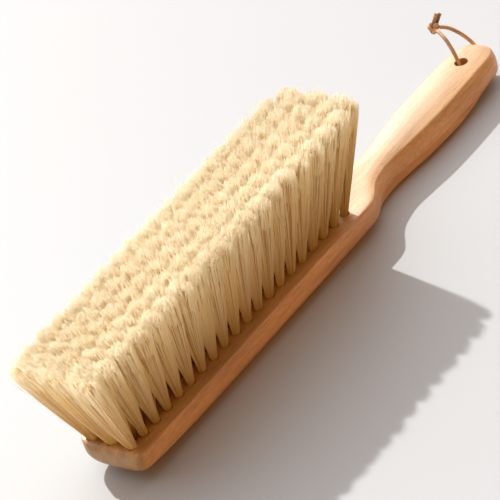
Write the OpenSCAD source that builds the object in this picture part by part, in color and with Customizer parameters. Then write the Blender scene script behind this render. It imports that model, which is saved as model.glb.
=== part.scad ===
// Wooden bench brush with natural-fibre tufts and a leather hanging thong.
// It lies on its back: X runs from the toe to the handle, Z points up through
// the tufts, and the origin is on the flat of the back, under the middle of the
// field of tufts.

/* [Stock] */
// Thickness of the board that block and handle are cut from
stock_t = 18.5; // [17.5:0.5:21]
// Width of the block
block_w = 43.4; // [42:0.2:46]
// Distance from the first tufts to the end of the toe
toe_margin = 5.5; // [5.5:0.5:8]
// Corner radius of the toe on the right of the brush (-Y), seen from above
toe_right_r = 6; // [5:1:16]
// Corner radius of the toe on the left of the brush (+Y), seen from above
toe_left_r = 13; // [9:1:16]
// Radius of the toe's upper and lower edges
toe_edge_r = 3.5; // [2:0.5:4.5]
// Height by which the back sweeps up at the toe
toe_rise = 6.5; // [4:0.5:7]
// Length of the handle, from the last tufts to its tip
handle_len = 150.5; // [146:0.5:156]
// Width of the handle at its neck, just behind the block
neck_w = 21.6; // [20:0.2:24]
// Width of the handle at the middle of the grip
grip_w = 31; // [28:0.2:33]

/* [Tufts] */
// Ranks of tufts along the block
ranks = 20; // [12:1:20]
// Spacing of the tufts along a row
pitch = 9.5; // [9.5:0.1:10]
// Spacing of the five rows across the block
row_gap = 6.3; // [6.2:0.1:6.6]
// Diameter of the hole that holds a tuft
hole_d = 5; // [4:0.1:5.2]
// Depth of that hole along its own axis
hole_depth = 9; // [8:0.5:10]
// Height of the trimmed tips above the bristle face
trim_h = 58; // [45:1:62]
// Lean of the first and last ranks along the block, as a slope
fan_x = 0.345; // [0.3:0.005:0.36]
// Lean of the outer rows across the block, as a slope
fan_y = 0.165; // [0.15:0.005:0.18]
// Diameter of a tuft where it is fullest
tuft_d = 10; // [8:0.1:10]

/* [Anchors] */
// Thickness of the flat anchor wire
anchor_t = 0.6; // [0.4:0.1:0.8]
// Width of the flat anchor wire
anchor_w = 1.8; // [1.4:0.1:2.2]

/* [Thong] */
// Diameter of the round leather thong
thong_d = 2.1; // [1.8:0.1:2.1]
// Diameter of the hang hole
hang_hole_d = 7; // [6.8:0.2:8]
// Distance from the tip of the handle to the centre of the hang hole
hang_hole_inset = 20.5; // [20:0.5:22]
// Depth of the chamfer round both mouths of the hang hole
hang_chamfer = 0.8; // [0.4:0.1:1]

/* [Hidden] */

field_len = (ranks - 1) * pitch;
toe_x = -field_len / 2 - toe_margin;
heel_x = field_len / 2;
tip_x = heel_x + handle_len;
hang_x = tip_x - hang_hole_inset;

function two_digits(k) = str(k < 10 ? "0" : "", k);
function unit(v) = v / norm(v);
function mix(a, b, t) = a + (b - a) * t;

// ---------------------------------------------------------------- stock
// Block and handle are one piece, lofted through sections that are rectangles
// with shaped upper corners and elliptical lower ones. A station is
// [distance behind the last tufts, half width, drop of the top, rise of the
//  bottom, upper corner width and height, lower corner width and height].
half_block = block_w / 2;
half_neck = neck_w / 2;
half_grip = grip_w / 2;
stations = [
    [-field_len - toe_margin, half_block, 0, toe_rise, 1.5, 1.5, 10, 6],
    [-field_len + 14, half_block, 0, toe_rise * 0.6, 1.5, 1.5, 13, 8],
    [-field_len + 54, half_block, 0, 0, 1.5, 1.5, 16, 14],
    [7.5, half_block, 0, 0, 1.5, 1.5, 16, 14],
    [13.5, half_block * 0.975, 0, 0, 2.5, 2.5, 15, 13.5],
    [19.5, half_block * 0.855, 0.2, 0, 5, 4, 13, 12],
    [25.5, half_block * 0.68, 0.4, 0, 7, 6, 10, 9],
    [32.5, half_neck + 1.3, 0.5, 0, 9.5, 8, 8, 7],
    [44.5, half_neck, 0.5, 0, 10.3, 9.5, 7, 6],
    [59.5, mix(half_neck, half_grip, 0.35), 0.3, 0, 12, 10, 7.5, 6],
    [77.5, mix(half_neck, half_grip, 0.84), 0, 0, 14.2, 10.5, 8, 6],
    [97.5, half_grip, 0, 0, 15, 10.5, 8, 6],
    [111.5, half_grip * 0.985, 0, 0.7, 14.8, 10, 8, 6],
    [124.5, half_grip * 0.96, 0.2, 2.6, 14.4, 9.5, 8, 6],
    [handle_len - 15, half_grip * 0.91, 0.5, 3.2, 13.6, 8.5, 8, 5.5],
    [handle_len, half_grip * 0.86, 1, 3.4, 12, 8, 8, 5],
];

// An upper corner from the side to the top, as shares of its width and height:
// a sloping side, a soft arris and a crowned top
upper_profile = [
    [1, 0],
    [0.975, 0.24],
    [0.9, 0.49],
    [0.795, 0.73],
    [0.67, 0.87],
    [0.4, 0.965],
    [0, 1],
];
corner_steps = len(upper_profile) - 1;
end_step = 15;
block_step = 8;
handle_step = 5;
tip_round_len = 14;
tip_edge_r = 6;

// Monotone cubic through the stations, column by column: where a column is level
// on one side of a station, the curve is level there too
function rise(i, col) =
    (stations[i + 1][col] - stations[i][col]) / (stations[i + 1][0] - stations[i][0]);
function slope(i, col) =
    i == 0 || i == len(stations) - 1 ? 0 :
    let (before = rise(i - 1, col), after = rise(i, col))
    before * after <= 0 ? 0 : 2 * before * after / (before + after);
function span_index(s, i = 0) =
    i >= len(stations) - 2 || s <= stations[i + 1][0] ? i : span_index(s, i + 1);
function section_value(s, col) =
    let (
        i = span_index(s),
        a = stations[i],
        b = stations[i + 1],
        w = b[0] - a[0],
        t = (s - a[0]) / w,
        t2 = t * t,
        t3 = t2 * t
    )
    (2 * t3 - 3 * t2 + 1) * a[col] + (t3 - 2 * t2 + t) * w * slope(i, col)
    + (3 * t2 - 2 * t3) * b[col] + (t3 - t2) * w * slope(i + 1, col);

// How far a rounded end of radius r is set in, at distance d from the end
function set_in(d, r) = d >= r ? 0 : r - sqrt(r * r - (r - d) * (r - d));
function half_width(x, toe_r) =
    let (half_w = section_value(x - heel_x, 1))
    half_w - set_in(x - toe_x, toe_r)
    - half_w / tip_round_len * set_in(tip_x - x, tip_round_len);
function end_thinning(x) = set_in(x - toe_x, toe_edge_r) + set_in(tip_x - x, tip_edge_r);

function corner(cy, cz, w, h, from) = [
    for (k = [0 : corner_steps])
        let (a = from + 90 * k / corner_steps) [cy + w * cos(a), cz + h * sin(a)]
];
function section(x) =
    let (
        s = x - heel_x,
        left = half_width(x, toe_left_r),
        right = -half_width(x, toe_right_r),
        half_w = min(left, -right),
        top = stock_t - section_value(s, 2) - end_thinning(x),
        bottom = section_value(s, 3) + end_thinning(x),
        room = (top - bottom) / 2 - 0.3,
        uw = min(section_value(s, 4), half_w - 0.5),
        uh = min(section_value(s, 5), room),
        lw = min(section_value(s, 6), half_w - 0.5),
        lh = min(section_value(s, 7), top - bottom - uh - 0.3)
    )
    concat(
        [for (p = upper_profile) [left - uw * (1 - p[0]), top - uh * (1 - p[1])]],
        [
            for (k = [corner_steps : -1 : 0])
                let (p = upper_profile[k])
                [right + uw * (1 - p[0]), top - uh * (1 - p[1])]
        ],
        corner(right + lw, bottom + lh, lw, lh, 180),
        corner(left - lw, bottom + lh, lw, lh, 270)
    );

section_xs = concat(
    [for (a = [0 : end_step : 90]) toe_x + toe_left_r * (1 - cos(a))],
    [for (s = [14 : block_step : 54]) heel_x - field_len + s],
    [for (s = [7.5 : handle_step : handle_len - tip_round_len - 2]) heel_x + s],
    [for (a = [90 : -end_step / 1.5 : 10]) tip_x - tip_round_len * (1 - cos(a))]
);

module stock_body() {
    rings = [for (x = section_xs) [for (p = section(x)) [x, p[0], p[1]]]];
    n = len(rings[0]);
    last = len(rings) - 1;
    sides = [
        for (i = [0 : last - 1], k = [0 : n - 1])
            [i * n + k, (i + 1) * n + k, (i + 1) * n + (k + 1) % n, i * n + (k + 1) % n]
    ];
    toe_cap = [for (k = [0 : n - 1]) k];
    tip_cap = [for (k = [n - 1 : -1 : 0]) last * n + k];
    polyhedron([for (ring = rings) each ring], concat([toe_cap, tip_cap], sides));
}

// Cutter that chamfers one mouth of the hang hole, its narrow end at z = 0
module chamfer_cutter() {
    over = 2;
    cylinder(
        d1 = hang_hole_d,
        d2 = hang_hole_d + 2 * (hang_chamfer + over),
        h = hang_chamfer + over,
        $fn = 48
    );
}

module stock() {
    hang_top = stock_t - section_value(hang_x - heel_x, 2);
    hang_bottom = section_value(hang_x - heel_x, 3);
    color("burlywood")
    difference() {
        stock_body();
        for (k = [1 : ranks], row = rank_rows(k))
            at_tuft(k, row)
                cylinder(d = hole_d, h = hole_depth + stock_t, $fn = 32);
        translate([hang_x, 0, -1])
            cylinder(d = hang_hole_d, h = stock_t + 2, $fn = 48);
        translate([hang_x, 0, hang_top - hang_chamfer])
            chamfer_cutter();
        translate([hang_x, 0, hang_bottom + hang_chamfer])
            mirror([0, 0, 1])
                chamfer_cutter();
    }
}

// ---------------------------------------------------------------- tufts
// Five rows; rows 2 and 4 stand in the gaps of the others, so the last rank has
// only three tufts. Every hole is drilled at the lean of its tuft.
function rank_rows(k) = k < ranks ? [-2, -1, 0, 1, 2] : [-2, 0, 2];
function tuft_x(k, row) =
    -field_len / 2 + (k - 1 + (abs(row) == 1 ? 0.5 : 0)) * pitch;
function lean_x(x) =
    let (u = 2 * x / field_len) fan_x * u * (0.5 + 0.5 * abs(u));
function lean_y(row) = fan_y * row / 2;

// Puts its children on a tuft's axis, with z = 0 at the bottom of the hole
module at_tuft(k, row) {
    x = tuft_x(k, row);
    tilt = atan(norm([lean_x(x), lean_y(row)]));
    heading = atan2(lean_y(row), lean_x(x));
    translate([x, row * row_gap, stock_t])
        rotate([0, 0, heading])
            rotate([0, tilt, 0])
                rotate([0, 0, -heading])
                    translate([0, 0, -hole_depth])
                        children();
}

function tuft_len(k, row) =
    hole_depth + trim_h * norm([lean_x(tuft_x(k, row)), lean_y(row), 1]);

// Half outline: a parallel root in the hole, a quick flare, a domed tip
function tuft_outline(length) =
    let (root_r = hole_d / 2 - 0.05, r = tuft_d / 2, mouth = hole_depth + 1)
    [
        [0, 0],
        [root_r, 0],
        [root_r, mouth],
        [r * 0.74, mouth + 8],
        [r * 0.9, mouth + 18],
        [r * 0.97, mouth + 32],
        [r, length - 5],
        [r * 0.94, length - 2],
        [r * 0.7, length - 0.5],
        [0, length],
    ];

module anchor_blank(clearance) {
    seat = 1.6;
    length = sqrt(pow(hole_d - 0.1, 2) - pow(anchor_t, 2));
    translate([-anchor_t / 2 - clearance, -length / 2 - clearance * 10, seat - clearance])
        cube([
            anchor_t + 2 * clearance,
            length + clearance * 20,
            anchor_w + 2 * clearance,
        ]);
}

module tuft(length) {
    difference() {
        rotate_extrude($fn = 32)
            polygon(tuft_outline(length));
        anchor_blank(0.05);
    }
}

module tufts_rank(k) {
    color("wheat")
    for (row = rank_rows(k))
        at_tuft(k, row)
            tuft(tuft_len(k, row));
}

// A flat wire across each tuft's fold, driven to the bottom of the hole
module anchors_rank(k) {
    color("silver")
    for (row = rank_rows(k))
        at_tuft(k, row)
            anchor_blank(0);
}

// ---------------------------------------------------------------- thong
// Centre line of the loop, measured from the hang hole's axis at floor level:
// down through the hole, out under the tip of the handle and back up round it
thong_route = [
    [8.1, 16.8, 29.9],
    [6.7, 14.2, 29.6],
    [4.8, 10.4, 28.2],
    [3.0, 7.0, 25.4],
    [1.4, 4.0, 21.6],
    [0.3, 2.2, 17.6],
    [0.0, 1.0, 11.0],
    [0.6, 0.2, 6.5],
    [1.6, 0.0, 3.6],
    [3.6, 0.1, 1.8],
    [7.0, 0.6, 1.4],
    [12.0, 1.8, 1.4],
    [17.0, 3.6, 1.7],
    [21.4, 5.2, 4.2],
    [22.4, 6.4, 9.0],
    [21.6, 7.4, 14.0],
    [19.9, 9.2, 18.6],
    [18.0, 11.6, 22.8],
    [15.6, 14.2, 26.6],
    [13.4, 16.3, 28.7],
    [11.7, 17.6, 29.7],
];
knot_at = [9.3, 19.8, 30.5];
tails_end = [14.2, 18.0, 37.0];
thong_sides = 8;
route_steps = 3;

// Catmull-Rom curve through the route
function route_point(i) =
    thong_route[min(max(i, 0), len(thong_route) - 1)];
function route_between(i, t) =
    let (a = route_point(i - 1), b = route_point(i), c = route_point(i + 1), d = route_point(i + 2))
    0.5 * (2 * b + (c - a) * t + (2 * a - 5 * b + 4 * c - d) * t * t
    + (3 * b - a - 3 * c + d) * t * t * t);
thong_line = concat(
    [
        for (i = [0 : len(thong_route) - 2], k = [0 : route_steps - 1])
            route_between(i, k / route_steps)
    ],
    [route_point(len(thong_route) - 1)]
);

// Side directions carried along the line without twist
function line_tangent(line, i) =
    unit(line[min(i + 1, len(line) - 1)] - line[max(i - 1, 0)]);
function side_dirs(line, i, before) =
    i >= len(line) ? [] :
    let (t = line_tangent(line, i), side = unit(before - t * (before * t)))
    concat([side], side_dirs(line, i + 1, side));

module swept_tube(line, d) {
    sides = side_dirs(line, 0, [1, 0, 0]);
    points = [
        for (i = [0 : len(line) - 1], k = [0 : thong_sides - 1])
            let (
                a = 360 * k / thong_sides,
                up = cross(line_tangent(line, i), sides[i])
            )
            line[i] + d / 2 * (cos(a) * sides[i] + sin(a) * up)
    ];
    n = thong_sides;
    last = len(line) - 1;
    walls = [
        for (i = [0 : last - 1], k = [0 : n - 1])
            [i * n + k, (i + 1) * n + k, (i + 1) * n + (k + 1) % n, i * n + (k + 1) % n]
    ];
    first_cap = [for (k = [0 : n - 1]) k];
    last_cap = [for (k = [n - 1 : -1 : 0]) last * n + k];
    polyhedron(points, concat([first_cap, last_cap], walls));
}

module thong() {
    color("sienna")
    translate([hang_x, 0, 0])
        swept_tube(thong_line, thong_d);
}

// Turns z along v
module along(v) {
    rotate([0, acos(v[2] / norm(v)), atan2(v[1], v[0])])
        children();
}

module thong_knot() {
    core_d = 5.4;
    wrap_r = 2.1;
    color("saddlebrown")
    translate([hang_x, 0, 0] + knot_at)
        along(tails_end - knot_at) {
            sphere(d = core_d, $fn = 32);
            for (side = [-1, 1])
                rotate([side * 22, 0, 0])
                    translate([0, 0, side * 0.9])
                        rotate_extrude($fn = 32)
                            translate([wrap_r, 0])
                                circle(d = thong_d, $fn = 20);
        }
}

module thong_tails() {
    start = 2.85;
    tails = tails_end - knot_at;
    color("sienna")
    translate([hang_x, 0, 0] + knot_at)
        along(tails)
            for (side = [-1, 1])
                translate([0, side * (thong_d / 2 + 0.05), start])
                    cylinder(d = thong_d, h = norm(tails) - start, $fn = 24);
}

stock();
for (k = [1 : ranks]) {
    tufts_rank(k);
    anchors_rank(k);
}
thong();
thong_knot();
thong_tails();
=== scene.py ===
import math

import bmesh
import bpy
import numpy as np
from bpy.props import FloatProperty, FloatVectorProperty, IntProperty, PointerProperty
from mathutils import Matrix, Vector


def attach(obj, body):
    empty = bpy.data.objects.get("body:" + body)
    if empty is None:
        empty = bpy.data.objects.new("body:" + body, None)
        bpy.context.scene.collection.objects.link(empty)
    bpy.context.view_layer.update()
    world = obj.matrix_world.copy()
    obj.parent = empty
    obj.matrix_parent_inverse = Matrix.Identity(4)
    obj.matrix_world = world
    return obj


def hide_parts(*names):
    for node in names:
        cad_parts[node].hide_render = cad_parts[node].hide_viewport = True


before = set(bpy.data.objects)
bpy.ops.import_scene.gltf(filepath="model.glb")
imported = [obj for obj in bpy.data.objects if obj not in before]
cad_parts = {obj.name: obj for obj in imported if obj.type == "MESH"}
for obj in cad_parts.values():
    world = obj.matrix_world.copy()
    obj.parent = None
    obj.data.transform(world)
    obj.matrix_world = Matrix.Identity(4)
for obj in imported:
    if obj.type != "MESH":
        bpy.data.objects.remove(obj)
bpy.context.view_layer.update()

bl_info = {
    "name": "Bench brush",
    "version": (1, 0, 0),
    "blender": (4, 5, 0),
    "location": "3D View > Sidebar > Brush",
    "description": "Builds a wooden bench brush with fibre tufts and a leather hanging thong",
    "category": "Add Mesh",
}

MM = 0.001

# The brush lies on its back: X from the toe to the handle, Z up through the tufts.
RANKS = 20
PITCH = 9.5
ROW_GAP = 6.3
FIELD_LEN = (RANKS - 1) * PITCH
STOCK_T = 18.5
BLOCK_W = 43.4
NECK_W = 21.6
GRIP_W = 31.0
TOE_X = -FIELD_LEN / 2 - 5.5
HEEL_X = FIELD_LEN / 2
TIP_X = HEEL_X + 150.5
HANG_X = TIP_X - 20.5
HANG_HOLE_D = 7.0
HOLE_D = 5.0
HOLE_DEPTH = 9.0
TRIM_H = 58.0
FAN_X = 0.345
FAN_Y = 0.165


# ---------------------------------------------------------------- helpers
def linear(hex_colour):
    """An sRGB hex colour as linear red, green, blue and alpha."""
    parts = [int(hex_colour[i : i + 2], 16) / 255 for i in (1, 3, 5)]
    return [c / 12.92 if c <= 0.04045 else ((c + 0.055) / 1.055) ** 2.4 for c in parts] + [1.0]


def colour(name, description, hex_colour):
    return FloatVectorProperty(
        name=name, description=description, subtype="COLOR", size=4, min=0, max=1, default=linear(hex_colour)
    )


def length(name, description, mm, low=0.0):
    return FloatProperty(
        name=name, description=description, unit="LENGTH", subtype="DISTANCE", default=mm * MM, min=low * MM, precision=5
    )


def add(tree, kind, inputs=None, **settings):
    """Adds a node. inputs maps a socket's name or number to a value, or to the socket that feeds it."""
    node = tree.nodes.new(kind)
    for key, value in settings.items():
        setattr(node, key, value)
    for key, value in (inputs or {}).items():
        if isinstance(value, bpy.types.NodeSocket):
            tree.links.new(value, node.inputs[key])
        else:
            node.inputs[key].default_value = value
    return node


def ramp(tree, factor, stops):
    """A colour ramp through (place, linear colour) stops."""
    node = add(tree, "ShaderNodeValToRGB", {"Fac": factor})
    elements = node.color_ramp.elements
    while len(elements) < len(stops):
        elements.new(0.5)
    for element, (place, value) in zip(elements, stops):
        element.position = place
        element.color = value
    return node.outputs["Color"]


def grey(value):
    return (value, value, value, 1.0)


def dimmed(value, share):
    return (*(share * c for c in value[:3]), 1.0)


def blank_material(name):
    """A material with no nodes but its output."""
    material = bpy.data.materials.new(name)
    material.use_nodes = True
    material.node_tree.nodes.clear()
    output = material.node_tree.nodes.new("ShaderNodeOutputMaterial")
    return material, material.node_tree, output


def object_of(name, mesh, material, replaces=()):
    """Puts a finished mesh in the scene as a piece of the brush."""
    mesh.materials.clear()
    mesh.materials.append(material)
    piece = bpy.data.objects.new(name, mesh)
    bpy.context.scene.collection.objects.link(piece)
    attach(piece, "root")
    if replaces:
        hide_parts(*replaces)
    return piece


def catmull_rom(points, steps):
    """Points of a smooth curve through all the given ones."""
    pts = [Vector(p) for p in points]
    line = []
    for i in range(len(pts) - 1):
        a, b, c, d = pts[max(i - 1, 0)], pts[i], pts[i + 1], pts[min(i + 2, len(pts) - 1)]
        for k in range(steps):
            t = k / steps
            line.append(
                0.5 * (2 * b + (c - a) * t + (2 * a - 5 * b + 4 * c - d) * t * t + (3 * b - a - 3 * c + d) * t**3)
            )
    line.append(pts[-1])
    return line


# ---------------------------------------------------------------- stage
# The pieces that the glow light falls on, those that keep it off, and those that cast the key light's shadows: the
# thin lace is not one of them
GLOWING = "lit_through_fibre"
SHADING = "solid_to_glow"
CASTING = "casts_key_shadow"
WOODEN = "lit_by_bounce"


class BrushStage(bpy.types.PropertyGroup):
    sun_strength: FloatProperty(name="Sun", description="Strength of the low key light", default=4.05, min=0)
    sun_angle: FloatProperty(
        name="Sun size", description="Apparent size of the key light", default=math.radians(1.3), unit="ROTATION", subtype="ANGLE"
    )
    sky_strength: FloatProperty(name="Sky", description="Strength of the soft light from all round", default=1.22, min=0)
    floor_colour: colour("Floor", "Colour of the floor", "#afb4b9")
    sky_colour: colour("Sky", "Colour of the soft light", "#fffaf8")
    sun_colour: colour("Sun", "Colour of the key light", "#fffbf4")
    fill_strength: FloatProperty(name="Fill", description="Strength of the warm fill from the near side", default=0.83, min=0)
    fill_colour: colour("Fill", "Colour of the fill light", "#ffb260")
    bounce_strength: FloatProperty(name="Bounce", description="Strength of the warm light thrown up on the wood", default=0.6, min=0)
    bounce_colour: colour("Bounce", "Colour of the light thrown back on the wood", "#ffa860")
    glow_strength: FloatProperty(
        name="Glow", description="Strength of the key light that has come through the tufts", default=2.55, min=0
    )
    toe_strength: FloatProperty(name="Toe light", description="Strength of the soft light on the toe's fibres", default=5.0, min=0)
    toe_colour: colour("Toe light", "Colour of the soft light on the toe's fibres", "#fff6e4")
    glow_colour: colour("Glow", "Colour that the tufts give the light on its way through", "#ffe2ac")


def sun_lamp(name, strength, tint, towards, angle, lit=None, shading=None):
    """A distant lamp. lit and shading name the collections of the only pieces it lights and is shaded by."""
    lamp = bpy.data.objects.new(name, bpy.data.lights.new(name, "SUN"))
    lamp.data.energy = strength
    lamp.data.angle = angle
    lamp.data.color = tint[:3]
    lamp.rotation_mode = "QUATERNION"
    lamp.rotation_quaternion = Vector(towards).to_track_quat("Z", "Y")
    if lit:
        lamp.light_linking.receiver_collection = bpy.data.collections[lit]
    if shading:
        lamp.light_linking.blocker_collection = bpy.data.collections[shading]
    bpy.context.scene.collection.objects.link(lamp)


class BRUSH_OT_stage(bpy.types.Operator):
    """Makes the camera, the key light, the sky and the floor"""

    bl_idname = "brush.stage"
    bl_label = "Stage"

    def execute(self, context):
        settings = context.scene.brush_stage
        camera = bpy.data.objects.new("camera", bpy.data.cameras.new("camera"))
        camera.data.sensor_width = 36.0
        camera.data.lens = 3199.0 / 500.0 * 36.0
        camera.data.clip_start, camera.data.clip_end = 0.05, 20.0
        right = Vector((0.5581, -0.7814, -0.2790)).normalized()
        ahead = Vector((0.5724, 0.6061, -0.5523)).normalized()
        up = right.cross(ahead)
        camera.matrix_world = Matrix.Translation((-0.8481, -0.9335, 0.8874)) @ Matrix((right, up, -ahead)).transposed().to_4x4()
        context.scene.collection.objects.link(camera)
        context.scene.camera = camera

        for name in (GLOWING, SHADING, CASTING, WOODEN):
            bpy.data.collections.new(name)
        sun_lamp("key_light", settings.sun_strength, settings.sun_colour, (0.70, 1.23, 1.0), settings.sun_angle, None, CASTING)
        sun_lamp("fill_light", settings.fill_strength, settings.fill_colour, (-0.25, -1.0, 0.4), math.radians(70))
        # Light thrown up from round the brush on its shaded side, for the wood alone
        bounce = (-0.1, -1.0, -0.45)
        sun_lamp("bounce_light", settings.bounce_strength, settings.bounce_colour, bounce, math.radians(60), WOODEN, SHADING)
        # The key light again as it is after the fibres have passed it on, and what the room throws back at the toe: they
        # light the fibres alone, which do not shade one another from them.
        glow = settings.glow_colour
        sun_lamp("glow_light", settings.glow_strength, glow, (1.6, 0.55, 0.25), math.radians(25), GLOWING, SHADING)
        sun_lamp("toe_light", settings.toe_strength, settings.toe_colour, (-1.0, 0.25, 0.15), math.radians(40), GLOWING)

        world = bpy.data.worlds.new("sky")
        context.scene.world = world
        world.use_nodes = True
        world.node_tree.nodes.clear()
        # Bright towards the window side and overhead, dim and warm from the near side
        look = add(world.node_tree, "ShaderNodeTexCoord").outputs["Generated"]
        towards = add(
            world.node_tree, "ShaderNodeVectorMath", {0: look, 1: Vector((0.42, 0.74, 0.52))}, operation="DOT_PRODUCT"
        )
        side = add(
            world.node_tree, "ShaderNodeMapRange", {"Value": towards.outputs["Value"], "From Min": -1.0, "From Max": 1.0}
        )
        warm, sky = settings.fill_colour, settings.sky_colour
        glow = ramp(
            world.node_tree,
            side.outputs[0],
            [(0.0, dimmed(warm, 0.08)), (0.5, dimmed(warm, 0.12)), (0.68, dimmed(sky, 0.62)), (0.8, dimmed(sky, 1.15)), (1.0, dimmed(sky, 1.8))],
        )
        back = add(world.node_tree, "ShaderNodeBackground", {"Color": glow, "Strength": settings.sky_strength})
        add(world.node_tree, "ShaderNodeOutputWorld", {"Surface": back.outputs[0]})

        bm = bmesh.new()
        bmesh.ops.create_grid(bm, x_segments=1, y_segments=1, size=4.0)
        mesh = bpy.data.meshes.new("floor")
        bm.to_mesh(mesh)
        bm.free()
        floor = bpy.data.objects.new("floor", mesh)
        context.scene.collection.objects.link(floor)
        mesh.materials.append(floor_material(settings))

        context.scene.view_settings.view_transform = "Standard"
        return {"FINISHED"}


def floor_material(settings):
    """Pale satin worktop."""
    material, tree, output = blank_material("satin_white_laminate")
    shader = add(
        tree,
        "ShaderNodeBsdfPrincipled",
        {"Base Color": settings.floor_colour, "Roughness": 0.5, "Specular IOR Level": 0.15},
    )
    tree.links.new(shader.outputs[0], output.inputs["Surface"])
    return material


# ---------------------------------------------------------------- stock
# [distance behind the last tufts, half width, drop of the top, rise of the bottom,
#  upper corner width and height, lower corner width and height], in millimetres
HB, HN, HG = BLOCK_W / 2, NECK_W / 2, GRIP_W / 2
STATIONS = [
    [-FIELD_LEN - 5.5, HB, 0, 6.5, 1.5, 1.5, 10, 6],
    [-FIELD_LEN + 14, HB, 0, 3.9, 1.5, 1.5, 13, 8],
    [-FIELD_LEN + 54, HB, 0, 0, 1.5, 1.5, 16, 14],
    [7.5, HB, 0, 0, 1.5, 1.5, 16, 14],
    [13.5, HB * 0.975, 0, 0, 2.5, 2.5, 15, 13.5],
    [19.5, HB * 0.855, 0.2, 0, 5, 4, 13, 12],
    [25.5, HB * 0.68, 0.4, 0, 6, 5, 10, 9],
    [32.5, HN + 1.3, 0.5, 0, 7.5, 6.5, 8, 7],
    [44.5, HN, 0.5, 0, 9, 8.5, 7, 6],
    [59.5, HN + (HG - HN) * 0.35, 0.3, 0, 11.5, 10, 7.5, 6],
    [77.5, HN + (HG - HN) * 0.84, 0, 0, 14.2, 10.5, 8, 6],
    [97.5, HG, 0, 0, 15, 10.5, 8, 6],
    [111.5, HG * 0.985, 0, 0.7, 14.8, 10, 8, 6],
    [124.5, HG * 0.96, 0.2, 2.6, 14.4, 9.5, 8, 6],
    [135.5, HG * 0.91, 0.5, 3.2, 13.6, 8.5, 8, 5.5],
    [150.5, HG * 0.86, 1, 3.4, 12, 8, 8, 5],
]
TOE_RIGHT_R = 6.0
TOE_LEFT_R = 13.0
TOE_EDGE_R = 3.5
TIP_ROUND = 14.0
TIP_EDGE_R = 6.0


def station_slope(i, col):
    """Slope of a column at a station: level where it turns, so that the curve never overshoots."""
    if i in (0, len(STATIONS) - 1):
        return 0.0
    before, after = (
        (STATIONS[j + 1][col] - STATIONS[j][col]) / (STATIONS[j + 1][0] - STATIONS[j][0]) for j in (i - 1, i)
    )
    return 0.0 if before * after <= 0 else 2 * before * after / (before + after)


def station_value(s, col):
    i = 0
    while i < len(STATIONS) - 2 and s > STATIONS[i + 1][0]:
        i += 1
    a, b = STATIONS[i], STATIONS[i + 1]
    w = b[0] - a[0]
    t = (s - a[0]) / w
    return (
        (2 * t**3 - 3 * t**2 + 1) * a[col]
        + (t**3 - 2 * t**2 + t) * w * station_slope(i, col)
        + (3 * t**2 - 2 * t**3) * b[col]
        + (t**3 - t**2) * w * station_slope(i + 1, col)
    )


def set_in(d, r):
    """How far a rounded end of radius r is set in, at distance d from the end."""
    return 0.0 if d >= r else r - math.sqrt(max(r * r - (r - d) ** 2, 0.0))


# An upper corner from the side to the top, as shares of its width and height: a sloping side, a soft arris, a crown
UPPER_PROFILE = [(1, 0), (0.985, 0.24), (0.925, 0.50), (0.82, 0.77), (0.765, 0.83), (0.69, 0.865), (0.4, 0.96), (0, 1)]
UPPER_STEPS = 3
CORNER_STEPS = 8
# Below 1 this makes the lower corners fuller than an ellipse
LOWER_POWER = 0.85
RUN_STEPS = 6


def half_width(x, toe_r):
    half = station_value(x - HEEL_X, 1)
    return half - set_in(x - TOE_X, toe_r) - half / TIP_ROUND * set_in(TIP_X - x, TIP_ROUND)


def stock_section(x):
    """The outline (y, z) across the stock at x, from the side of the left upper corner."""
    s = x - HEEL_X
    thin = set_in(x - TOE_X, TOE_EDGE_R) + set_in(TIP_X - x, TIP_EDGE_R)
    left, right = half_width(x, TOE_LEFT_R), -half_width(x, TOE_RIGHT_R)
    half = min(left, -right)
    top = STOCK_T - station_value(s, 2) - thin
    bottom = station_value(s, 3) + thin
    uw, uh = min(station_value(s, 4), half - 0.5), min(station_value(s, 5), (top - bottom) / 2 - 0.3)
    lw = min(station_value(s, 6), half - 0.5)
    lh = min(station_value(s, 7), top - bottom - uh - 0.3)
    upper = catmull_rom([(u, v, 0) for u, v in UPPER_PROFILE], UPPER_STEPS)
    turns = [math.radians(90 * k / CORNER_STEPS) for k in range(CORNER_STEPS + 1)]
    rounds = [(math.cos(a) ** LOWER_POWER, math.sin(a) ** LOWER_POWER) for a in turns]
    corners = [
        [(left - uw * (1 - p.x), top - uh * (1 - p.y)) for p in upper],
        [(right + uw * (1 - p.x), top - uh * (1 - p.y)) for p in reversed(upper)],
        [(right + lw * (1 - c), bottom + lh * (1 - s)) for c, s in rounds],
        [(left - lw * (1 - s), bottom + lh * (1 - c)) for c, s in rounds],
    ]
    outline = []
    for corner, following in zip(corners, corners[1:] + corners[:1]):
        outline += corner
        here, goal = corner[-1], following[0]
        for k in range(1, RUN_STEPS):
            t = 0.5 - 0.5 * math.cos(math.pi * k / RUN_STEPS)
            outline.append((here[0] + (goal[0] - here[0]) * t, here[1] + (goal[1] - here[1]) * t))
    return outline


def stock_places():
    """Where along X the sections stand: close together at both ends and through the shoulder."""
    xs = [TOE_X + TOE_LEFT_R * (1 - math.cos(math.radians(a))) for a in range(0, 91, 5)]
    xs += list(np.linspace(TOE_X + TOE_LEFT_R, HEEL_X + 4, 34)[1:])
    xs += list(np.linspace(HEEL_X + 4, TIP_X - TIP_ROUND, 62)[1:])
    xs += [TIP_X - TIP_ROUND * (1 - math.cos(math.radians(a))) for a in range(84, 5, -6)]
    return xs


def tuft_places():
    """(rank, row, x, y, slope along X, slope along Y) of every tuft, in millimetres at the bristle face."""
    places = []
    for rank in range(1, RANKS + 1):
        for row in (-2, -1, 0, 1, 2) if rank < RANKS else (-2, 0, 2):
            x = -FIELD_LEN / 2 + (rank - 1 + (0.5 if abs(row) == 1 else 0)) * PITCH
            u = 2 * x / FIELD_LEN
            places.append((rank, row, x, row * ROW_GAP, FAN_X * u * (0.5 + 0.5 * abs(u)), FAN_Y * row / 2))
    return places


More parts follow.
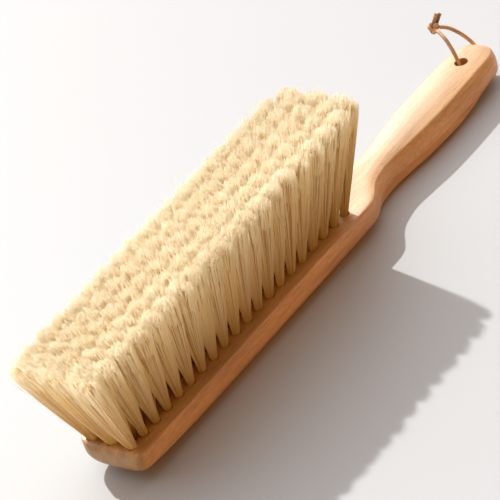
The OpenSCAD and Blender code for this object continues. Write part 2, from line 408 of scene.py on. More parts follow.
def drills():
    """The cutters for the tuft holes, as one mesh."""
    bm = bmesh.new()
    for _, _, x, y, lean_x, lean_y in tuft_places():
        lean = Vector((lean_x, lean_y, 1)).normalized()
        turn = lean.to_track_quat("Z", "Y").to_matrix().to_4x4()
        centre = Vector((x, y, STOCK_T)) + lean * ((20 - HOLE_DEPTH) / 2)
        bmesh.ops.create_cone(
            bm,
            cap_ends=True,
            segments=20,
            radius1=HOLE_D / 2 * MM,
            radius2=HOLE_D / 2 * MM,
            depth=(20 + HOLE_DEPTH) * MM,
            matrix=Matrix.Translation(centre * MM) @ turn,
        )
    mesh = bpy.data.meshes.new("tuft_drills")
    bm.to_mesh(mesh)
    bm.free()
    return mesh


class BrushStock(bpy.types.PropertyGroup):
    heart: colour("Wood", "Main colour of the wood", "#d9ab6b")
    late: colour("Growth lines", "Colour of the darker late wood", "#c28744")
    fleck: colour("Flecks", "Colour of the fine ray flecks", "#a9693a")
    hole_round: length("Hang hole rounding", "Radius of the hang hole's worn rim", 0.9)


class BRUSH_OT_stock(bpy.types.Operator):
    """Makes the block and handle, one piece of beech"""

    bl_idname = "brush.stock"
    bl_label = "Stock"

    def execute(self, context):
        settings = context.scene.brush_stock
        bm = bmesh.new()
        xs = stock_places()
        count = len(stock_section(0.0))
        ring = bmesh.ops.create_circle(bm, cap_ends=False, segments=count, radius=0.01)["verts"]
        edges = list(bm.edges)
        first_ring = list(ring)
        for i, x in enumerate(xs):
            if i:
                grown = bmesh.ops.extrude_edge_only(bm, edges=edges)["geom"]
                fresh = [g for g in grown if isinstance(g, bmesh.types.BMVert)]
                edges = [
                    e for e in grown if isinstance(e, bmesh.types.BMEdge) and e.verts[0] in fresh and e.verts[1] in fresh
                ]
                follow = {}
                for v in fresh:
                    for e in v.link_edges:
                        other = e.other_vert(v)
                        if other in order:
                            follow[order[other]] = v
                ring = [follow[k] for k in range(count)]
            order = {v: k for k, v in enumerate(ring)}
            for v, (y, z) in zip(ring, stock_section(x)):
                v.co = (x * MM, y * MM, z * MM)
        bmesh.ops.holes_fill(bm, edges=list(bm.edges), sides=0)
        bmesh.ops.recalc_face_normals(bm, faces=bm.faces)
        body = bpy.data.meshes.new("stock_body")
        bm.to_mesh(body)
        bm.free()

        holder = bpy.data.objects.new("stock_body", body)
        cutter = bpy.data.objects.new("tuft_drills", drills())
        context.scene.collection.objects.link(holder)
        context.scene.collection.objects.link(cutter)
        cut = holder.modifiers.new("holes", "BOOLEAN")
        cut.operation, cut.solver, cut.object = "DIFFERENCE", "EXACT", cutter
        hang = bpy.data.objects.new("hang_drill", hang_drill(settings.hole_round / MM))
        context.scene.collection.objects.link(hang)
        cut = holder.modifiers.new("hang", "BOOLEAN")
        cut.operation, cut.solver, cut.object = "DIFFERENCE", "EXACT", hang
        context.view_layer.update()
        graph = context.evaluated_depsgraph_get()
        mesh = bpy.data.meshes.new_from_object(holder.evaluated_get(graph), depsgraph=graph)
        mesh.name = "beech_stock"
        for spent in (holder, cutter, hang):
            bpy.data.objects.remove(spent)
        if len(mesh.polygons) < 1000:
            raise RuntimeError("the stock lost its faces when its holes were cut")
        mesh.shade_smooth()
        mesh.set_sharp_from_angle(angle=math.radians(32))
        piece = object_of("beech_stock", mesh, beech(settings), ["stock"])
        for lit_or_shading in (SHADING, CASTING, WOODEN):
            bpy.data.collections[lit_or_shading].objects.link(piece)
        return {"FINISHED"}


def hang_drill(rim):
    """The cutter for the hang hole, flared at both mouths so that its rims come out worn."""
    bm = bmesh.new()
    top, bottom = STOCK_T, 3.3
    profile = [(0, bottom - 4), (HANG_HOLE_D / 2 + rim + 0.8, bottom - 4)]
    steps = 6
    for k in range(steps + 1):
        a = math.radians(90 * k / steps)
        profile.append((HANG_HOLE_D / 2 + rim * (1 - math.sin(a)), bottom + rim * (1 - math.cos(a)) - 0.05))
    for k in range(steps + 1):
        a = math.radians(90 * k / steps)
        profile.append((HANG_HOLE_D / 2 + rim * (1 - math.cos(a)), top - rim * (1 - math.sin(a)) - 0.15))
    profile += [(HANG_HOLE_D / 2 + rim + 0.8, top + 4), (0, top + 4)]
    verts = [bm.verts.new((r * MM, 0, z * MM)) for r, z in profile]
    edges = [bm.edges.new(pair) for pair in zip(verts, verts[1:])]
    bmesh.ops.spin(
        bm,
        geom=verts + edges,
        cent=(0, 0, 0),
        axis=(0, 0, 1),
        angle=math.tau,
        steps=48,
        use_merge=True,
        use_duplicate=False,
    )
    bmesh.ops.remove_doubles(bm, verts=bm.verts, dist=1e-6)
    bmesh.ops.recalc_face_normals(bm, faces=bm.faces)
    bmesh.ops.translate(bm, verts=bm.verts, vec=(HANG_X * MM, 0, 0))
    mesh = bpy.data.meshes.new("hang_drill")
    bm.to_mesh(mesh)
    bm.free()
    return mesh


def beech(settings):
    """Fine sanded beech with a thin oil: pale pinkish brown, faint growth lines along the board, and many short dark
    ray flecks that give it its close, dashed grain."""
    material, tree, output = blank_material("oiled_beech")
    place = add(tree, "ShaderNodeTexCoord").outputs["Object"]

    # Growth lines 2 to 4 mm apart round a pith that runs along the board, 70 mm below it.
    trunk = add(tree, "ShaderNodeMapping", {"Vector": place, "Location": (0.0, 0.014, 0.070), "Scale": (0.12, 1.0, 1.0)})
    lines = add(
        tree,
        "ShaderNodeTexWave",
        {"Vector": trunk.outputs[0], "Scale": 16.0, "Distortion": 2.6, "Detail": 2.0, "Detail Scale": 1.6, "Detail Roughness": 0.5},
        wave_type="RINGS",
        rings_direction="X",
        wave_profile="SAW",
    )
    # Broad drifts of tone, about 60 mm long and 8 mm wide.
    drift_at = add(tree, "ShaderNodeMapping", {"Vector": place, "Scale": (16.0, 120.0, 120.0)})
    drift = add(tree, "ShaderNodeTexNoise", {"Vector": drift_at.outputs[0], "Scale": 1.0, "Detail": 3.0, "Roughness": 0.55})
    # Ray flecks, about 2.5 mm long and 0.3 mm wide.
    fleck_at = add(tree, "ShaderNodeMapping", {"Vector": place, "Scale": (330.0, 2600.0, 2600.0)})
    fleck = add(tree, "ShaderNodeTexNoise", {"Vector": fleck_at.outputs[0], "Scale": 1.0, "Detail": 1.5, "Roughness": 0.5})
    # Fine straight grain, 12 mm long and 0.5 mm wide.
    grain_at = add(tree, "ShaderNodeMapping", {"Vector": place, "Scale": (80.0, 1700.0, 1700.0)})
    grain = add(tree, "ShaderNodeTexNoise", {"Vector": grain_at.outputs[0], "Scale": 1.0, "Detail": 2.0, "Roughness": 0.6})

    base = add(
        tree,
        "ShaderNodeMix",
        {"Factor": ramp(tree, lines.outputs["Fac"], [(0.0, grey(0.0)), (0.75, grey(0.35)), (1.0, grey(0.75))]), 6: settings.heart, 7: settings.late},
        data_type="RGBA",
    )
    drifted = add(
        tree,
        "ShaderNodeMix",
        {"Factor": 0.55, 6: base.outputs[2], 7: ramp(tree, drift.outputs["Fac"], [(0.3, linear("#9a9a9a")), (0.7, linear("#ffffff"))])},
        data_type="RGBA",
        blend_type="MULTIPLY",
    )
    grained = add(
        tree,
        "ShaderNodeMix",
        {"Factor": 0.5, 6: drifted.outputs[2], 7: ramp(tree, grain.outputs["Fac"], [(0.32, linear("#c4b6aa")), (0.6, linear("#ffffff"))])},
        data_type="RGBA",
        blend_type="MULTIPLY",
    )
    dashes = ramp(tree, fleck.outputs["Fac"], [(0.58, grey(0.0)), (0.68, grey(0.6))])
    flecked = add(
        tree,
        "ShaderNodeMix",
        {"Factor": dashes, 6: grained.outputs[2], 7: settings.fleck},
        data_type="RGBA",
    )
    height = add(tree, "ShaderNodeMath", {0: grain.outputs["Fac"], 1: fleck.outputs["Fac"]}, operation="ADD")
    bump = add(tree, "ShaderNodeBump", {"Height": height.outputs[0], "Strength": 0.25, "Distance": 0.0002})
    rough = ramp(tree, grain.outputs["Fac"], [(0.3, grey(0.60)), (0.7, grey(0.50))])
    shader = add(
        tree,
        "ShaderNodeBsdfPrincipled",
        {
            "Base Color": flecked.outputs[2],
            "Roughness": rough,
            "IOR": 1.5,
            "Specular IOR Level": 0.3,
            "Normal": bump.outputs[0],
            "Coat Weight": 0.9,
            "Coat Roughness": 0.43,
        },
    )
    tree.links.new(shader.outputs[0], output.inputs["Surface"])
    return material


# ---------------------------------------------------------------- tufts
class BrushTufts(bpy.types.PropertyGroup):
    fibres: IntProperty(
        name="Fibres", description="Full-length fibres in a tuft at the outside of the brush", default=560, min=60, max=1500
    )
    inner_fibres: IntProperty(
        name="Inner fibres", description="Full-length fibres in a tuft with others all round it", default=120, min=20, max=1500
    )
    tips: IntProperty(name="Tips", description="Fine fibre ends on the trimmed face of a tuft", default=620, min=60, max=1500)
    thickness: length("Fibre thickness", "Diameter of a fibre at its middle", 0.34)
    spread: length("Spread", "Radius of a tuft at its tips", 6.7)
    pale: colour("Pale fibre", "Colour of the bleached tips", "#e4e3df")
    straw: colour("Straw fibre", "Colour of the darker fibres", "#ddcca2")
    # The root colour is partly the fibre's own and partly painted shade near the wood.
    root: colour("Root", "Colour of the fibres near the wood", "#b08634")


# How far below zero the height attribute starts inside the brush, where the fibre material paints shade on the roots
PAINTED_SHADE_DEPTH = 0.45


def strand_mesh(name, groups):
    """One mesh of tapered strands. Each group is (lines, thickness, tone, depth, sides): lines is strands x points x 3
    in metres, thickness one number for each point, tone one for each strand, and depth 1 where the strand stands inside
    the brush. A mesh attribute says how far along its height a point is; inside the brush it starts below zero, where
    the fibre material paints shade."""
    tree = bpy.data.node_groups.new(name, "GeometryNodeTree")
    tree.interface.new_socket("Geometry", in_out="OUTPUT", socket_type="NodeSocketGeometry")
    join = add(tree, "GeometryNodeJoinGeometry")
    holder = bpy.data.objects.new(name, bpy.data.meshes.new(name))
    spent = [holder]
    for lines, thickness, tone, depth, sides in groups:
        count, points, _ = lines.shape
        along = (lines[:, :, 2] / MM - STOCK_T) / TRIM_H
        # Inner strands start below zero, where the fibre material paints shade between the roots.
        along -= PAINTED_SHADE_DEPTH * (1 - along) * depth[:, None]
        hair = bpy.data.hair_curves.new(name)
        hair.add_curves([points] * count)
        hair.position_data.foreach_set("vector", lines.astype(np.float32).ravel())
        for label, domain, values in (
            ("radius", "POINT", thickness / 2),
            ("tone", "CURVE", tone),
            ("along", "POINT", along),
        ):
            layer = hair.attributes.get(label) or hair.attributes.new(label, "FLOAT", domain)
            layer.data.foreach_set("value", np.asarray(values, np.float32).ravel())
        source = bpy.data.objects.new(name + "_lines", hair)
        spent.append(source)
        lines_in = add(tree, "GeometryNodeObjectInfo", {"Object": source})
        straight = add(tree, "GeometryNodeCurveSplineType", {"Curve": lines_in.outputs["Geometry"]}, spline_type="POLY")
        profile = add(tree, "GeometryNodeCurvePrimitiveCircle", {"Resolution": sides, "Radius": 1.0})
        radius = add(tree, "GeometryNodeInputRadius")
        skin = add(
            tree,
            "GeometryNodeCurveToMesh",
            {"Curve": straight.outputs[0], "Profile Curve": profile.outputs[0], "Scale": radius.outputs[0], "Fill Caps": True},
        )
        tree.links.new(skin.outputs[0], join.inputs[0])
    smooth = add(tree, "GeometryNodeSetShadeSmooth", {"Geometry": join.outputs[0]})
    add(tree, "NodeGroupOutput", {0: smooth.outputs[0]})
    for made in spent:
        bpy.context.scene.collection.objects.link(made)
    holder.modifiers.new("strands", "NODES").node_group = tree
    bpy.context.view_layer.update()
    graph = bpy.context.evaluated_depsgraph_get()
    mesh = bpy.data.meshes.new_from_object(holder.evaluated_get(graph), depsgraph=graph)
    for made in spent:
        bpy.data.objects.remove(made)
    bpy.data.node_groups.remove(tree)
    if not len(mesh.polygons):
        raise RuntimeError(f"{name} came out empty")
    mesh.name = name
    return mesh


# Height up the tuft, the share of its spread that it has reached there, and the fibre's thickness
RISE = np.array([-0.05, 0.10, 0.34, 0.70, 1.0])
FLARE = np.array([0.0, 0.11, 0.42, 0.81, 1.0])
# The inner rows open out lower down, so that no daylight shows between the roots
INNER_FLARE = np.array([0.05, 0.5, 0.72, 0.9, 1.0])
TAPER = np.array([0.65, 0.8, 1.0, 1.0, 0.25])
ROOT_R = 1.8
# The same for the fine ends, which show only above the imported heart
TIP_RISE = np.array([0.80, 0.93, 1.0])
TIP_TAPER = np.array([1.0, 0.9, 0.2])
LOCKS = 9
WISPS = 56


def is_inner(rank, row):
    """Whether a tuft has others all round it at its root."""
    return abs(row) < 2 and (rank, row) != (1, 0)


def tuft_locks(rng):
    """Where the locks of one tuft stand in its disc, how they lean, how much longer they are and their tones."""
    at = spiral(LOCKS, 0.9, rng) + rng.normal(0, 0.08, (LOCKS, 2))
    return at, rng.normal(0, 0.35, (LOCKS, 2)) + 0.35 * at, rng.normal(0, 0.2, LOCKS), rng.random(LOCKS)


def tuft_wisps(rng):
    """The same for its wisps, the few fibres that cling together: where they stand, how far out they are pushed, how
    much longer they are and their tones."""
    at = spiral(WISPS, 0.97, rng)
    return at, 1 + rng.normal(0, 0.045, WISPS), rng.normal(0, 0.55, WISPS), rng.random(WISPS)


def spiral(count, reach, rng):
    """Points spread evenly over a disc, as in a sunflower's head."""
    rho = reach * np.sqrt((np.arange(count) + 0.5) / count)
    phi = np.arange(count) * 2.4 + rng.random() * math.tau
    return np.stack([rho * np.cos(phi), rho * np.sin(phi)], 1)


def tuft_fibres(place, locks, wisps, count, rise, taper, settings, rng):
    """Fibre lines, thicknesses and tones of one tuft, in metres."""
    rank, row, x, y, lean_x, lean_y = place
    lock_at, lock_lean, lock_height, lock_tone = locks
    wisp_at, wisp_out, wisp_height, wisp_tone = wisps
    # The end ranks are drawn out into a flat wall across the brush, the outer rows not beyond its sides.
    wide, deep, out = {1: (1.55, 1.05, 0.92), RANKS: (1.4, 0.62, 0.62)}.get(rank, (1.0, 1.0, 1.0))
    spread = settings.spread / MM * np.array([deep, wide])
    middle = -np.sign(row) * (abs(row) == 2) * (wide - out) * settings.spread / MM
    inward = (rank == 1) * 0.27 * settings.spread / MM
    rho = np.sqrt(rng.random(count))
    phi = rng.random(count) * math.tau
    disc = np.stack([rho * np.cos(phi), rho * np.sin(phi)], 1)
    lock = np.argmin(((disc[:, None, :] - lock_at[None]) ** 2).sum(2), 1)
    wisp = np.argmin(((disc[:, None, :] - wisp_at[None]) ** 2).sum(2), 1)
    stray = rng.random(count) < 0.05

    up = rise.clip(0)[None, :, None]
    opening = INNER_FLARE if is_inner(rank, row) else FLARE
    flare = np.interp(rise, RISE, opening)[None, :, None] ** np.array([1.0, 0.6 if rank == 1 else 1.0])
    own = disc[:, None, :]
    gather = 0.14 * up**5
    target = own * (1 - gather) + lock_at[lock][:, None, :] * gather
    cling = 0.4 * up**2
    target = (target * (1 - cling) + wisp_at[wisp][:, None, :] * cling) * wisp_out[wisp][:, None, None]
    root = ROOT_R * np.array([1.0, 1.5 if rank == 1 else 1.0])
    offset = own * root * (1 - flare) + target * spread * flare
    loose = np.where(stray, 1.9, 0.3)[:, None]
    wander = (rng.normal(0, 1, (count, 2)) * loose)[:, None, :] * up**1.5
    bend = rng.normal(0, 0.25, (count, 2))[:, None, :] * np.sin(math.pi * up)
    offset = offset + wander + bend + lock_lean[lock][:, None, :] * up**3
    offset[:, :, 0] += inward * flare[:, :, 0]
    offset[:, :, 1] += middle * flare[:, :, 1]

    # The outermost fibres were trimmed at a slant, so their tips step down the side of the brush.
    edge = np.clip(disc[:, 1] * np.sign(row), 0, 1) * (abs(row) == 2) + np.clip(-disc[:, 0], 0, 1) * (rank == 1)
    tip = TRIM_H - 3.4 * rho**2 + lock_height[lock] + wisp_height[wisp] - rng.gamma(1.6, 0.35, count)
    tip += 1.8 * stray * rng.random(count)
    tip -= 5.0 * edge**2 * rng.random(count) ** 1.5
    height = rise[None, :] * tip[:, None]
    lines = np.empty((count, len(rise), 3))
    lines[:, :, 0] = x + lean_x * height + offset[:, :, 0]
    lines[:, :, 1] = y + lean_y * height + offset[:, :, 1]
    lines[:, :, 2] = STOCK_T + height

    girth = settings.thickness * rng.uniform(0.7, 1.15, count)
    tone = 0.35 * rng.random(count) ** 1.5 + 0.2 * lock_tone[lock] + 0.45 * wisp_tone[wisp]
    return lines * MM, girth[:, None] * taper[None, :], tone, np.full(count, float(is_inner(rank, row)))


# The tone that marks a packed heart; a fibre's own tone runs from 0 to 1
PACKED = 2.0
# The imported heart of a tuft: height up the tuft, and its radius as a share of the tuft's there
HEART = np.array(
    [[-0.05, 0.86], [0.10, 0.88], [0.34, 0.90], [0.68, 0.90], [0.85, 0.88], [0.89, 0.83], [0.915, 0.68], [0.93, 0.46], [0.94, 0.22], [0.942, 0.03]]
)


def tuft_heart(place, settings):
    """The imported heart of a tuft, as one thick strand, or as two side by side where the tuft is drawn out."""
    rank, row, x, y, lean_x, lean_y = place
    rise = HEART[:, 0]
    flare = np.interp(rise, RISE, INNER_FLARE if is_inner(rank, row) else FLARE)
    radius = (ROOT_R * (1 - flare) + settings.spread / MM * flare) * HEART[:, 1]
    height = rise * TRIM_H
    sides = (0.0,)
    if rank in (1, RANKS):
        share = 0.6 if rank == 1 else 0.48
        radius = (ROOT_R * (1 - flare) + share * settings.spread / MM * flare) * HEART[:, 1]
        sides = {-2: (0.0, 0.95), 0: (-0.48, 0.48), 2: (-0.95, 0.0)}.get(row, sides)
    lines = [
        np.stack([x + lean_x * height, y + lean_y * height + side * settings.spread / MM * flare, STOCK_T + height], 1)
        for side in sides
    ]
    depth = np.full(len(sides), float(is_inner(rank, row)))
    return np.stack(lines) * MM, np.stack([2 * radius] * len(sides)) * MM, np.full(len(sides), PACKED), depth


class BRUSH_OT_tufts(bpy.types.Operator):
    """Makes the twenty ranks of fibre tufts"""

    bl_idname = "brush.tufts"
    bl_label = "Tufts"

    def execute(self, context):
        settings = context.scene.brush_tufts
        material = fibre(settings)
        places = tuft_places()
        for rank in range(1, RANKS + 1):
            rng = np.random.default_rng(1000 + rank)
            fibres, tips, hearts = [], [], []
            for place in (p for p in places if p[0] == rank):
                outer = abs(place[1]) == 2 or rank in (1, RANKS - 1, RANKS)
                locks, wisps = tuft_locks(rng), tuft_wisps(rng)
                count = settings.fibres if outer else settings.inner_fibres
                fibres.append(tuft_fibres(place, locks, wisps, count, RISE, TAPER, settings, rng))
                tips.append(tuft_fibres(place, locks, wisps, settings.tips, TIP_RISE, TIP_TAPER, settings, rng))
                hearts.append(tuft_heart(place, settings))
            groups = [
                (*(np.concatenate([m[i] for m in made]) for i in range(4)), sides)
                for made, sides in ((fibres, 3), (tips, 3), (hearts, 18))
            ]
            mesh = strand_mesh(f"fibre_rank_{rank:02d}", groups)
            piece = object_of(f"fibre_rank_{rank:02d}", mesh, material, [f"tufts_rank_{rank:02d}"])
            bpy.data.collections[GLOWING].objects.link(piece)
            bpy.data.collections[CASTING].objects.link(piece)
        return {"FINISHED"}


def fibre(settings):
    """Cut tampico, a plant fibre: each one waxy and a little clear, so light glows through a tuft; straw at the root
    and bleached at the trimmed tips, and the darkening towards the roots is partly the fibre's own colour, partly
    painted shade."""
    material, tree, output = blank_material("tampico_fibre")
    tone = add(tree, "ShaderNodeAttribute", attribute_name="tone").outputs["Fac"]
    along = add(tree, "ShaderNodeAttribute", attribute_name="along").outputs["Fac"]
    # Pale at the tips and golden to brown towards the roots: partly the fibre's own colour, partly painted shade deeper
    # in the bundle.
    unbleached = ramp(tree, along, [(0.6, grey(1.0)), (0.95, grey(0.4))])
    straw = add(tree, "ShaderNodeMath", {0: tone, 1: unbleached}, operation="MULTIPLY")
    body = add(tree, "ShaderNodeMix", {"Factor": straw.outputs[0], 6: settings.pale, 7: settings.straw}, data_type="RGBA")
    rooted_and_shaded = add(
        tree,
        "ShaderNodeMix",
        {"Factor": ramp(tree, along, [(0.0, grey(0.92)), (0.18, grey(0.68)), (0.45, grey(0.42)), (0.8, grey(0.14)), (0.97, grey(0.0))]), 6: body.outputs[2], 7: settings.root},
        data_type="RGBA",
    )
    # Painted shade between the roots inside the brush, where next to no light gets in, and what does is brown.
    height = add(tree, "ShaderNodeMapRange", {"Value": along, "From Min": -PAINTED_SHADE_DEPTH, "From Max": 0.0})
    dark = ramp(tree, height.outputs[0], [(0.0, (0.22, 0.10, 0.04, 1.0)), (0.35, (0.42, 0.26, 0.14, 1.0)), (1.0, grey(1.0))])
    shown = add(
        tree, "ShaderNodeMix", {"Factor": 1.0, 6: rooted_and_shaded.outputs[2], 7: dark}, data_type="RGBA", blend_type="MULTIPLY"
    )
    shader = add(
        tree, "ShaderNodeBsdfPrincipled", {"Base Color": shown.outputs[2], "Roughness": 0.5, "Specular IOR Level": 0.2}
    )
    glow = add(tree, "ShaderNodeBsdfTranslucent", {"Color": shown.outputs[2]})
    # The roots stand packed; higher up the fibres part, and more light comes through them.
    clear = ramp(tree, along, [(0.0, grey(0.2)), (0.45, grey(0.4)), (0.85, grey(0.55)), (1.0, grey(0.42))])
    both = add(tree, "ShaderNodeMixShader", {0: clear, 1: shader.outputs[0], 2: glow.outputs[0]})
    # A fibre passes most light straight on, so a lamp's light reaches some way into the bundle.
    veil = add(tree, "ShaderNodeBsdfTransparent", {"Color": (0.58, 0.57, 0.56, 1.0)})
    shadow = add(tree, "ShaderNodeLightPath").outputs["Is Shadow Ray"]
    loose = add(tree, "ShaderNodeMixShader", {0: shadow, 1: both.outputs[0], 2: veil.outputs[0]})
    # The imported heart is too thick to shine through, and its colour is darkened as painted shade of the bundle's
    # inside.
    deep = add(
        tree, "ShaderNodeMix", {"Factor": 1.0, 6: shown.outputs[2], 7: (0.80, 0.70, 0.55, 1.0)}, data_type="RGBA", blend_type="MULTIPLY"
    )
    core = add(tree, "ShaderNodeBsdfPrincipled", {"Base Color": deep.outputs[2], "Roughness": 0.7})
    packed = add(tree, "ShaderNodeMath", {0: tone, 1: 1.5}, operation="GREATER_THAN")
    seen = add(tree, "ShaderNodeMixShader", {0: packed.outputs[0], 1: loose.outputs[0], 2: core.outputs[0]})
    tree.links.new(seen.outputs[0], output.inputs["Surface"])
    return material


class BRUSH_OT_anchors(bpy.types.Operator):
    """Gives the hidden anchor wires their finish"""

    bl_idname = "brush.anchors"
    bl_label = "Anchors"

    def execute(self, context):
        material = drawn_wire()
        for name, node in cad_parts.items():
            if name.startswith("anchors_rank_"):
                for slot in node.material_slots:
                    slot.material = material
        return {"FINISHED"}


def drawn_wire():
    """Flat drawn steel wire: dull grey with fine lengthwise drawing lines."""
    material, tree, output = blank_material("drawn_steel_wire")
    place = add(tree, "ShaderNodeTexCoord").outputs["Object"]
    at = add(tree, "ShaderNodeMapping", {"Vector": place, "Scale": (9000.0, 400.0, 9000.0)})
    scratch = add(tree, "ShaderNodeTexNoise", {"Vector": at.outputs[0], "Scale": 1.0, "Detail": 2.0})
    shader = add(
        tree,
        "ShaderNodeBsdfPrincipled",
        {
            "Base Color": ramp(tree, scratch.outputs["Fac"], [(0.3, linear("#8f8e8b")), (0.7, linear("#c2c0bb"))]),
            "Metallic": 1.0,
            "Roughness": ramp(tree, scratch.outputs["Fac"], [(0.3, grey(0.42)), (0.7, grey(0.28))]),
        },
    )
    tree.links.new(shader.outputs[0], output.inputs["Surface"])
    return material


# ---------------------------------------------------------------- thong
# Centre line of the loop, in metres: down through the hang hole, out under the tip and back up round it
LACE_ROUTE = [
    (HANG_X * MM + x * MM, y * MM, z * MM)
    for x, y, z in (
        (8.1, 16.8, 29.9),
        (6.7, 14.2, 29.6),
        (4.8, 10.4, 28.2),
        (3.0, 7.0, 25.4),
        (1.4, 4.0, 21.6),
        (0.3, 2.2, 17.6),
        (0.0, 1.0, 11.0),
        (0.6, 0.2, 6.5),
        (1.6, 0.0, 3.6),
        (3.6, 0.1, 1.8),
        (7.0, 0.6, 1.4),
        (12.0, 1.8, 1.4),
        (17.0, 3.6, 1.7),
        (21.4, 5.2, 4.2),
        (22.4, 6.4, 9.0),
        (21.6, 7.4, 14.0),
        (19.9, 9.2, 18.6),
        (18.0, 11.6, 22.8),
        (15.6, 14.2, 26.6),
        (13.4, 16.3, 28.7),
        (11.7, 17.6, 29.7),
    )
]
KNOT_AT = Vector((HANG_X + 9.3, 19.8, 30.5)) * MM
# How far apart the knot's lobes stand, and how it is turned about the way it faces
KNOT_SIZE = 0.78 * MM
KNOT_TURN = 20.0
KNOT_FACES = Vector((-0.57, -0.61, 0.55))
TAILS_END = Vector((HANG_X + 14.2, 18.0, 37.0)) * MM


class BrushThong(bpy.types.PropertyGroup):
    diameter: length("Lace", "Diameter of the round leather lace", 2.1)
    tan: colour("Tan", "Colour of the leather", "#e6c096")
    # The dark tan shows in the leather's mottle; the creases get their painted shade from a darker brown of their own.
    dark: colour("Dark tan", "Colour of its creases and handled places", "#8a5f42")


def lace_tube(name, line, radius, creases=None, sides=16):
    """A round lace along a line, with its straightened coordinates in the attribute "lace" and how far each point of
    the line lies in a crease in the attribute "crease", which the leather darkens as painted shade."""
    bm = bmesh.new()
    layer = bm.verts.layers.float_vector.new("lace")
    crease = bm.verts.layers.float.new("crease")
    ring = bmesh.ops.create_circle(bm, cap_ends=False, segments=sides, radius=radius)["verts"]
    edges = list(bm.edges)
    order = {v: k for k, v in enumerate(ring)}
    side = Vector((1, 0, 0))
    run = 0.0
    for i, point in enumerate(line):
        ahead = (line[min(i + 1, len(line) - 1)] - line[max(i - 1, 0)]).normalized()
        side = (side - ahead * side.dot(ahead)).normalized()
        up = ahead.cross(side)
        if i:
            run += (point - line[i - 1]).length
            grown = bmesh.ops.extrude_edge_only(bm, edges=edges)["geom"]
            fresh = {g for g in grown if isinstance(g, bmesh.types.BMVert)}
            edges = [g for g in grown if isinstance(g, bmesh.types.BMEdge) and set(g.verts) <= fresh]
            ring = [None] * sides
            for v in fresh:
                for e in v.link_edges:
                    if e.other_vert(v) in order:
                        ring[order[e.other_vert(v)]] = v
            order = {v: k for k, v in enumerate(ring)}
        for k, v in enumerate(ring):
            a = math.tau * k / sides
            v.co = point + (side * math.cos(a) + up * math.sin(a)) * radius
            v[layer] = Vector((math.cos(a) * radius, math.sin(a) * radius, run))
            v[crease] = creases[i] if creases else 0.0
    bmesh.ops.holes_fill(bm, edges=list(bm.edges), sides=0)
    bmesh.ops.recalc_face_normals(bm, faces=bm.faces)
    mesh = bpy.data.meshes.new(name)
    bm.to_mesh(mesh)
    bm.free()
    mesh.shade_smooth()
    mesh.set_sharp_from_angle(angle=math.radians(50))
    return mesh


class BRUSH_OT_thong(bpy.types.Operator):
    """Makes the leather hanging thong, its knot and its two tails"""

    bl_idname = "brush.thong"
    bl_label = "Thong"

    def execute(self, context):
        settings = context.scene.brush_thong
        material = leather(settings)
        line = catmull_rom(LACE_ROUTE, 6)
        radius = settings.diameter / 2
        loop = object_of(
            "lace_loop", lace_tube("lace_loop", line, radius), material, ["thong"]
        )
        through = (TAILS_END - KNOT_AT).normalized()
        across = through.cross(KNOT_FACES).normalized()
        turn = Matrix((across, through, across.cross(through))).transposed()
        knot = object_of("lace_knot", knot_mesh(turn, radius), material, ["thong_knot"])
        tails = object_of("lace_tails", tails_mesh(turn, radius), material, ["thong_tails"])
        return {"FINISHED"}


def join_meshes(name, meshes):
    bm = bmesh.new()
    for mesh in meshes:
        bm.from_mesh(mesh)
        bpy.data.meshes.remove(mesh)
    joined = bpy.data.meshes.new(name)
    bm.to_mesh(joined)
    bm.free()
    joined.shade_smooth()
    joined.set_sharp_from_angle(angle=math.radians(50))
    return joined


def knot_mesh(turn, radius):
    """An overhand knot: the lace goes round three lobes and through itself."""
    line, creases = [], []
    for k in range(121):
        t = math.tau * k / 120
        lobes = Vector((math.sin(t) + 2 * math.sin(2 * t), math.cos(t) - 2 * math.cos(2 * t), -1.25 * math.sin(3 * t)))
        line.append(KNOT_AT + turn @ Matrix.Rotation(math.radians(KNOT_TURN), 3, "Z") @ lobes * KNOT_SIZE)
        # Painted shade on the strands that lie towards the back of the knot, away from the way it faces.
        creases.append(0.5 - 0.5 * lobes.z)
    return lace_tube("lace_knot", line, radius, creases)


def tails_mesh(turn, radius):
    """The two cut tails, side by side, one a little behind the other."""
    tails = []
    reach = (TAILS_END - KNOT_AT).length / MM
    for side in (-1, 1):
        line = [
            KNOT_AT + turn @ Vector((side * (0.80 + 0.12 * u * u), 0.3 + (reach - 0.3 - 0.25 * (1 - side)) * u, -side * 0.75)) * MM
            for u in np.linspace(0, 1, 12)
        ]
        # Painted shade: darker near the knot, and darker all along on the tail that lies behind.
        tails.append(lace_tube("tail", line, radius * 0.95, [0.9 * (1 - u) + 0.4 * (side > 0) for u in np.linspace(0, 1, 12)]))
    return join_meshes("lace_tails", tails)


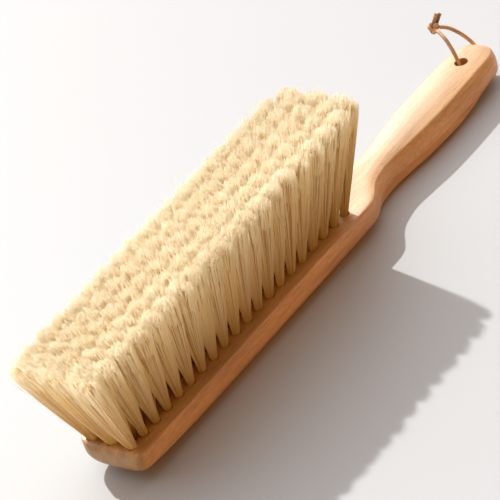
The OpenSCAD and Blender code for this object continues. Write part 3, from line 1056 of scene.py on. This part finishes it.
def leather(settings):
    """Round-cut tan leather lace: a dull, close surface with lengthwise fibres, with painted shade in its creases."""
    material, tree, output = blank_material("tan_leather_lace")
    lace = add(tree, "ShaderNodeAttribute", attribute_name="lace").outputs["Vector"]
    # Lengthwise fibres 0.3 mm wide and 4 mm long
    at = add(tree, "ShaderNodeMapping", {"Vector": lace, "Scale": (3000.0, 3000.0, 250.0)})
    strands = add(tree, "ShaderNodeTexNoise", {"Vector": at.outputs[0], "Scale": 1.0, "Detail": 3.0, "Roughness": 0.6})
    spot_at = add(tree, "ShaderNodeMapping", {"Vector": lace, "Scale": (420.0, 420.0, 160.0)})
    spots = add(tree, "ShaderNodeTexNoise", {"Vector": spot_at.outputs[0], "Scale": 1.0, "Detail": 2.0})
    mixed = add(tree, "ShaderNodeMath", {0: strands.outputs["Fac"], 1: spots.outputs["Fac"]}, operation="ADD")
    halved = add(tree, "ShaderNodeMapRange", {"Value": mixed.outputs[0], "From Min": 0.75, "From Max": 1.25, "To Min": 0.75, "To Max": 0.0})
    base = add(tree, "ShaderNodeMix", {"Factor": halved.outputs[0], 6: settings.tan, 7: settings.dark}, data_type="RGBA")
    # Painted shade: darker brown where the crease attribute is high, on the knot's back strands and the tail behind.
    crease = add(tree, "ShaderNodeAttribute", attribute_name="crease").outputs["Fac"]
    painted_crease_shade = add(
        tree,
        "ShaderNodeMix",
        {"Factor": ramp(tree, crease, [(0.1, grey(0.0)), (1.0, grey(0.85))]), 6: base.outputs[2], 7: linear("#5a3420")},
        data_type="RGBA",
    )
    bump = add(tree, "ShaderNodeBump", {"Height": strands.outputs["Fac"], "Strength": 0.5, "Distance": 0.00012})
    shader = add(
        tree,
        "ShaderNodeBsdfPrincipled",
        {"Base Color": painted_crease_shade.outputs[2], "Roughness": 0.58, "IOR": 1.5, "Normal": bump.outputs[0]},
    )
    tree.links.new(shader.outputs[0], output.inputs["Surface"])
    return material


# ---------------------------------------------------------------- panel and run
class BRUSH_PT_panel(bpy.types.Panel):
    bl_label = "Bench brush"
    bl_idname = "BRUSH_PT_panel"
    bl_space_type = "VIEW_3D"
    bl_region_type = "UI"
    bl_category = "Brush"

    def draw(self, context):
        for settings, operator in (
            ("brush_stage", "brush.stage"),
            ("brush_thong", "brush.thong"),
            ("brush_stock", "brush.stock"),
            ("brush_tufts", "brush.tufts"),
        ):
            box = self.layout.box()
            group = getattr(context.scene, settings)
            for name in group.bl_rna.properties.keys():
                if name not in ("rna_type", "name"):
                    box.prop(group, name)
            box.operator(operator)
        self.layout.operator("brush.anchors")


GROUPS = {
    "brush_stage": BrushStage,
    "brush_thong": BrushThong,
    "brush_stock": BrushStock,
    "brush_tufts": BrushTufts,
}
CLASSES = (
    *GROUPS.values(),
    BRUSH_OT_stage,
    BRUSH_OT_thong,
    BRUSH_OT_stock,
    BRUSH_OT_tufts,
    BRUSH_OT_anchors,
    BRUSH_PT_panel,
)


def register():
    for made in CLASSES:
        bpy.utils.register_class(made)
    for name, group in GROUPS.items():
        setattr(bpy.types.Scene, name, PointerProperty(type=group))


def unregister():
    for name in GROUPS:
        delattr(bpy.types.Scene, name)
    for made in reversed(CLASSES):
        bpy.utils.unregister_class(made)


def main():
    register()
    bpy.ops.brush.stage()
    bpy.ops.brush.thong()
    bpy.ops.brush.stock()
    bpy.ops.brush.tufts()
    bpy.ops.brush.anchors()


if __name__ == "__main__":
    main()
